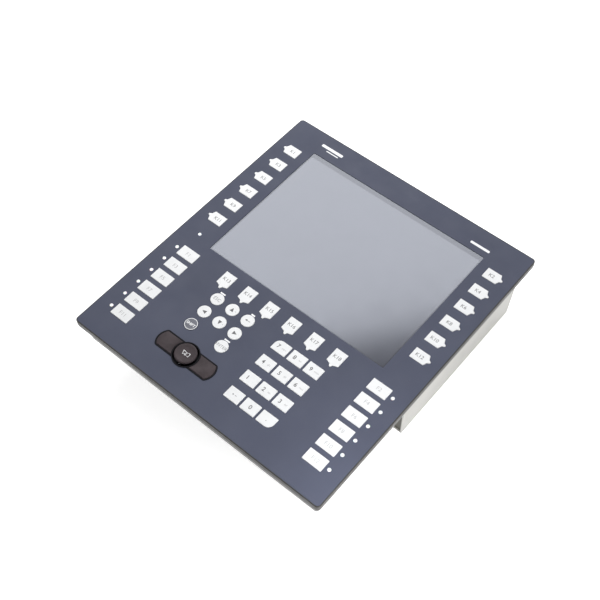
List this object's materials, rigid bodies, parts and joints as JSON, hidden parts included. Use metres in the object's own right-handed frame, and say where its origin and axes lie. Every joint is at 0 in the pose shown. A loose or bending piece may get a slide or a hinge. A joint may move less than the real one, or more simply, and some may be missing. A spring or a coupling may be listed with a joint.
{
  "type": "hmi touch panel",
  "caption": "Keypad operator panel for a cabinet door: touch display, white soft and function keys, number pad, cursor keys, tipping pointer disc with click buttons, deep rear housing.",
  "frame": {"origin": "middle of the underside, on the plane of the rear housing's back, with the panel lying on its back", "axes": "+Z out of the panel's face, +Y to the top edge of the face, +X to its right edge"},
  "size_m": [0.296, 0.333, 0.0763],
  "materials": {
    "key_white": "satin",
    "key_dark": "satin",
    "overlay_foil": "fine matt foil",
    "bezel_paint": "satin",
    "touch_film": "anti-glare",
    "module_metal": "brushed",
    "circuit_board": "satin",
    "spring_steel": "brushed",
    "lens_white": "gloss",
    "pointer_black": "matt",
    "pointer_brown": "matt",
    "housing_light": "satin",
    "tray_light": "painted, satin",
    "seal_foam": "matt",
    "zinc_steel": "brushed",
    "screw_steel": "brushed",
    "end_plate_dark": "satin",
    "door_dark": "matt",
    "socket_black": "matt",
    "terminal_green": "satin",
    "socket_metal": "satin",
    "stud_brass": "satin"
  },
  "bodies": {
    "panel": {"card_slot": "socket_black", "chassis_plate": "zinc_steel", "chassis_tray": "tray_light", "connector_plate": "end_plate_dark", "cover_screws": "screw_steel", "data_sockets": "socket_metal", "earth_stud": "stud_brass", "front_frame": "bezel_paint", "front_overlay": "overlay_foil", "keypad_board": "circuit_board", "lcd_module": "module_metal", "light_lenses": "lens_white", "main_board": "circuit_board", "panel_gasket": "seal_foam", "pointer_housing": "pointer_black", "power_terminal": "terminal_green", "rear_cover": "housing_light", "serial_socket": "socket_metal", "touch_panel": "touch_film"},
    "card_door": {"card_door": "door_dark"},
    "pointer_ring": {"pointer_gimbal_ring": "spring_steel"},
    "pointer_disc": {"pointer_disc": "pointer_brown", "pointer_stem": "pointer_black"},
    "pointer_left_button": {"pointer_left_button": "pointer_brown"},
    "pointer_right_button": {"pointer_right_button": "pointer_brown"},
    "soft_keys_left": {"soft_keys_left": "key_white"},
    "soft_keys_right": {"soft_keys_right": "key_white"},
    "soft_keys_low": {"soft_keys_low": "key_white"},
    "function_key_1": {"function_key_1": "key_white"},
    "function_key_2": {"function_key_2": "key_white"},
    "function_key_3": {"function_key_3": "key_white"},
    "function_key_4": {"function_key_4": "key_white"},
    "function_key_5": {"function_key_5": "key_white"},
    "function_key_6": {"function_key_6": "key_white"},
    "function_key_7": {"function_key_7": "key_white"},
    "function_key_8": {"function_key_8": "key_white"},
    "function_key_9": {"function_key_9": "key_white"},
    "function_key_10": {"function_key_10": "key_white"},
    "function_key_11": {"function_key_11": "key_white"},
    "function_key_12": {"function_key_12": "key_white"},
    "pad_key_7": {"pad_key_7": "key_white"},
    "pad_key_8": {"pad_key_8": "key_white"},
    "pad_key_9": {"pad_key_9": "key_white"},
    "pad_key_4": {"pad_key_4": "key_white"},
    "pad_key_5": {"pad_key_5": "key_white"},
    "pad_key_6": {"pad_key_6": "key_white"},
    "pad_key_1": {"pad_key_1": "key_white"},
    "pad_key_2": {"pad_key_2": "key_white"},
    "pad_key_3": {"pad_key_3": "key_white"},
    "pad_key_sign": {"pad_key_sign": "key_white"},
    "pad_key_0": {"pad_key_0": "key_white"},
    "pad_key_point": {"pad_key_point": "key_white"},
    "round_key_escape": {"round_key_escape": "key_white"},
    "round_key_up": {"round_key_up": "key_white"},
    "round_key_tab": {"round_key_tab": "key_white"},
    "round_key_left": {"round_key_left": "key_white"},
    "round_key_down": {"round_key_down": "key_white"},
    "round_key_right": {"round_key_right": "key_white"},
    "round_key_shift": {"round_key_shift": "key_dark"},
    "round_key_enter": {"round_key_enter": "key_white"}
  },
  "joints": [
    {"name": "card_door_hinge", "type": "hinge", "parent": "panel", "child": "card_door", "pos_m": [0.0365, -0.0346, 0.02525], "axis": [0, 0, -1], "range_deg": [0, 110]},
    {"name": "pointer_tip_sideways", "type": "hinge", "parent": "panel", "child": "pointer_ring", "pos_m": [-0.0404, -0.128, 0.0695], "axis": [0, 1, 0], "range_deg": [-4, 4], "stiffness_Nm_per_rad": 0.12},
    {"name": "pointer_tip_updown", "type": "hinge", "parent": "pointer_ring", "child": "pointer_disc", "pos_m": [-0.0404, -0.128, 0.0695], "axis": [1, 0, 0], "range_deg": [-4, 4], "stiffness_Nm_per_rad": 0.12},
    {"name": "pointer_left_click", "type": "slide", "parent": "panel", "child": "pointer_left_button", "axis": [0, 0, 1], "range_m": [-0.0006, 0], "stiffness_N_per_m": 1500, "springref_m": 0.0006},
    {"name": "pointer_right_click", "type": "slide", "parent": "panel", "child": "pointer_right_button", "axis": [0, 0, 1], "range_m": [-0.0006, 0], "stiffness_N_per_m": 1500, "springref_m": 0.0006},
    {"name": "soft_keys_left_press", "type": "slide", "parent": "panel", "child": "soft_keys_left", "axis": [0, 0, 1], "range_m": [-0.0004, 0], "stiffness_N_per_m": 15000, "springref_m": 0.0004},
    {"name": "soft_keys_right_press", "type": "slide", "parent": "panel", "child": "soft_keys_right", "axis": [0, 0, 1], "range_m": [-0.0004, 0], "stiffness_N_per_m": 15000, "springref_m": 0.0004},
    {"name": "soft_keys_low_press", "type": "slide", "parent": "panel", "child": "soft_keys_low", "axis": [0, 0, 1], "range_m": [-0.0004, 0], "stiffness_N_per_m": 15000, "springref_m": 0.0004},
    {"name": "pad_key_7_press", "type": "slide", "parent": "panel", "child": "pad_key_7", "axis": [0, 0, 1], "range_m": [-0.0004, 0], "stiffness_N_per_m": 2500, "springref_m": 0.0004},
    {"name": "pad_key_8_press", "type": "slide", "parent": "panel", "child": "pad_key_8", "axis": [0, 0, 1], "range_m": [-0.0004, 0], "stiffness_N_per_m": 2500, "springref_m": 0.0004},
    {"name": "pad_key_9_press", "type": "slide", "parent": "panel", "child": "pad_key_9", "axis": [0, 0, 1], "range_m": [-0.0004, 0], "stiffness_N_per_m": 2500, "springref_m": 0.0004},
    {"name": "pad_key_4_press", "type": "slide", "parent": "panel", "child": "pad_key_4", "axis": [0, 0, 1], "range_m": [-0.0004, 0], "stiffness_N_per_m": 2500, "springref_m": 0.0004},
    {"name": "pad_key_5_press", "type": "slide", "parent": "panel", "child": "pad_key_5", "axis": [0, 0, 1], "range_m": [-0.0004, 0], "stiffness_N_per_m": 2500, "springref_m": 0.0004},
    {"name": "pad_key_6_press", "type": "slide", "parent": "panel", "child": "pad_key_6", "axis": [0, 0, 1], "range_m": [-0.0004, 0], "stiffness_N_per_m": 2500, "springref_m": 0.0004},
    {"name": "pad_key_1_press", "type": "slide", "parent": "panel", "child": "pad_key_1", "axis": [0, 0, 1], "range_m": [-0.0004, 0], "stiffness_N_per_m": 2500, "springref_m": 0.0004},
    {"name": "pad_key_2_press", "type": "slide", "parent": "panel", "child": "pad_key_2", "axis": [0, 0, 1], "range_m": [-0.0004, 0], "stiffness_N_per_m": 2500, "springref_m": 0.0004},
    {"name": "pad_key_3_press", "type": "slide", "parent": "panel", "child": "pad_key_3", "axis": [0, 0, 1], "range_m": [-0.0004, 0], "stiffness_N_per_m": 2500, "springref_m": 0.0004},
    {"name": "pad_key_sign_press", "type": "slide", "parent": "panel", "child": "pad_key_sign", "axis": [0, 0, 1], "range_m": [-0.0004, 0], "stiffness_N_per_m": 2500, "springref_m": 0.0004},
    {"name": "pad_key_0_press", "type": "slide", "parent": "panel", "child": "pad_key_0", "axis": [0, 0, 1], "range_m": [-0.0004, 0], "stiffness_N_per_m": 2500, "springref_m": 0.0004},
    {"name": "pad_key_point_press", "type": "slide", "parent": "panel", "child": "pad_key_point", "axis": [0, 0, 1], "range_m": [-0.0004, 0], "stiffness_N_per_m": 2500, "springref_m": 0.0004},
    {"name": "round_key_escape_press", "type": "slide", "parent": "panel", "child": "round_key_escape", "axis": [0, 0, 1], "range_m": [-0.0004, 0], "stiffness_N_per_m": 2500, "springref_m": 0.0004},
    {"name": "round_key_up_press", "type": "slide", "parent": "panel", "child": "round_key_up", "axis": [0, 0, 1], "range_m": [-0.0004, 0], "stiffness_N_per_m": 2500, "springref_m": 0.0004},
    {"name": "round_key_tab_press", "type": "slide", "parent": "panel", "child": "round_key_tab", "axis": [0, 0, 1], "range_m": [-0.0004, 0], "stiffness_N_per_m": 2500, "springref_m": 0.0004},
    {"name": "round_key_left_press", "type": "slide", "parent": "panel", "child": "round_key_left", "axis": [0, 0, 1], "range_m": [-0.0004, 0], "stiffness_N_per_m": 2500, "springref_m": 0.0004},
    {"name": "round_key_down_press", "type": "slide", "parent": "panel", "child": "round_key_down", "axis": [0, 0, 1], "range_m": [-0.0004, 0], "stiffness_N_per_m": 2500, "springref_m": 0.0004},
    {"name": "round_key_right_press", "type": "slide", "parent": "panel", "child": "round_key_right", "axis": [0, 0, 1], "range_m": [-0.0004, 0], "stiffness_N_per_m": 2500, "springref_m": 0.0004},
    {"name": "round_key_shift_press", "type": "slide", "parent": "panel", "child": "round_key_shift", "axis": [0, 0, 1], "range_m": [-0.0004, 0], "stiffness_N_per_m": 2500, "springref_m": 0.0004},
    {"name": "round_key_enter_press", "type": "slide", "parent": "panel", "child": "round_key_enter", "axis": [0, 0, 1], "range_m": [-0.0004, 0], "stiffness_N_per_m": 2500, "springref_m": 0.0004},
    {"name": "function_key_1_press", "type": "slide", "parent": "panel", "child": "function_key_1", "axis": [0, 0, 1], "range_m": [-0.0004, 0], "stiffness_N_per_m": 2500, "springref_m": 0.0004},
    {"name": "function_key_2_press", "type": "slide", "parent": "panel", "child": "function_key_2", "axis": [0, 0, 1], "range_m": [-0.0004, 0], "stiffness_N_per_m": 2500, "springref_m": 0.0004},
    {"name": "function_key_3_press", "type": "slide", "parent": "panel", "child": "function_key_3", "axis": [0, 0, 1], "range_m": [-0.0004, 0], "stiffness_N_per_m": 2500, "springref_m": 0.0004},
    {"name": "function_key_4_press", "type": "slide", "parent": "panel", "child": "function_key_4", "axis": [0, 0, 1], "range_m": [-0.0004, 0], "stiffness_N_per_m": 2500, "springref_m": 0.0004},
    {"name": "function_key_5_press", "type": "slide", "parent": "panel", "child": "function_key_5", "axis": [0, 0, 1], "range_m": [-0.0004, 0], "stiffness_N_per_m": 2500, "springref_m": 0.0004},
    {"name": "function_key_6_press", "type": "slide", "parent": "panel", "child": "function_key_6", "axis": [0, 0, 1], "range_m": [-0.0004, 0], "stiffness_N_per_m": 2500, "springref_m": 0.0004},
    {"name": "function_key_7_press", "type": "slide", "parent": "panel", "child": "function_key_7", "axis": [0, 0, 1], "range_m": [-0.0004, 0], "stiffness_N_per_m": 2500, "springref_m": 0.0004},
    {"name": "function_key_8_press", "type": "slide", "parent": "panel", "child": "function_key_8", "axis": [0, 0, 1], "range_m": [-0.0004, 0], "stiffness_N_per_m": 2500, "springref_m": 0.0004},
    {"name": "function_key_9_press", "type": "slide", "parent": "panel", "child": "function_key_9", "axis": [0, 0, 1], "range_m": [-0.0004, 0], "stiffness_N_per_m": 2500, "springref_m": 0.0004},
    {"name": "function_key_10_press", "type": "slide", "parent": "panel", "child": "function_key_10", "axis": [0, 0, 1], "range_m": [-0.0004, 0], "stiffness_N_per_m": 2500, "springref_m": 0.0004},
    {"name": "function_key_11_press", "type": "slide", "parent": "panel", "child": "function_key_11", "axis": [0, 0, 1], "range_m": [-0.0004, 0], "stiffness_N_per_m": 2500, "springref_m": 0.0004},
    {"name": "function_key_12_press", "type": "slide", "parent": "panel", "child": "function_key_12", "axis": [0, 0, 1], "range_m": [-0.0004, 0], "stiffness_N_per_m": 2500, "springref_m": 0.0004}
  ]
}
